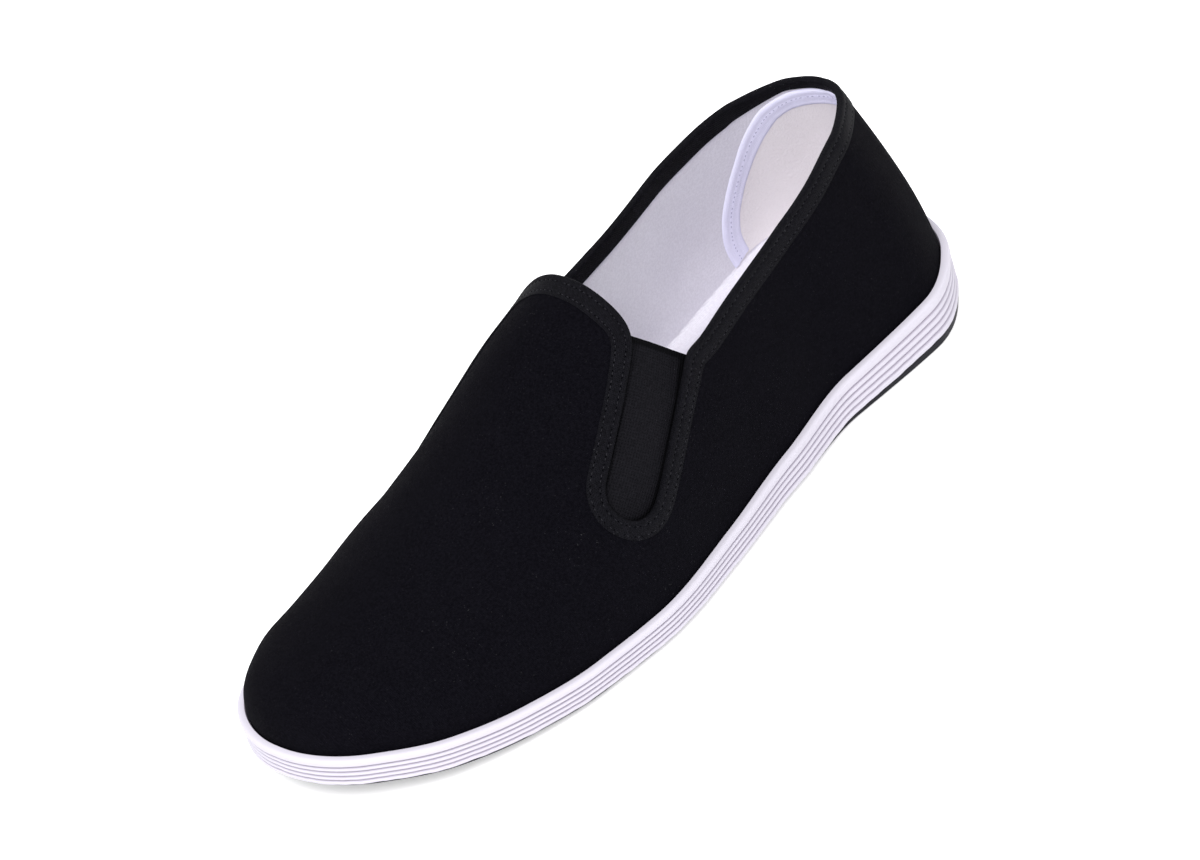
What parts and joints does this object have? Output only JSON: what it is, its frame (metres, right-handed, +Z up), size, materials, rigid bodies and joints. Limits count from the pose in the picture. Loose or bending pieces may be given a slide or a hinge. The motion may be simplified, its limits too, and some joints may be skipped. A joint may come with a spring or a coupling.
{
  "type": "chinese cloth shoe",
  "caption": "Left cloth slip-on shoe: hollow black cotton upper with side gores and bound collar, ribbed white midsole, black lugged rubber outsole.",
  "frame": {"origin": "middle of the shoe's outline on the ground", "axes": "+Y from toe to heel, +X to the wearer's left, +Z up"},
  "size_m": [0.1024, 0.2772, 0.0877],
  "materials": {
    "upper_cotton": "matt brushed twill",
    "binding_tape": "woven tape with a faint sheen",
    "gore_elastic": "fine ribbed elastic",
    "foxing_rubber": "satin, lilac white",
    "outsole_rubber": "satin black",
    "lining_cotton": "plain weave",
    "heel_tape": "woven tape"
  },
  "bodies": {
    "root": {"outsole": "outsole_rubber", "midsole": "foxing_rubber", "insole": "lining_cotton", "upper": "upper_cotton", "collar_binding": "binding_tape", "gore_lateral": "gore_elastic", "gore_medial": "gore_elastic"}
  },
  "joints": []
}
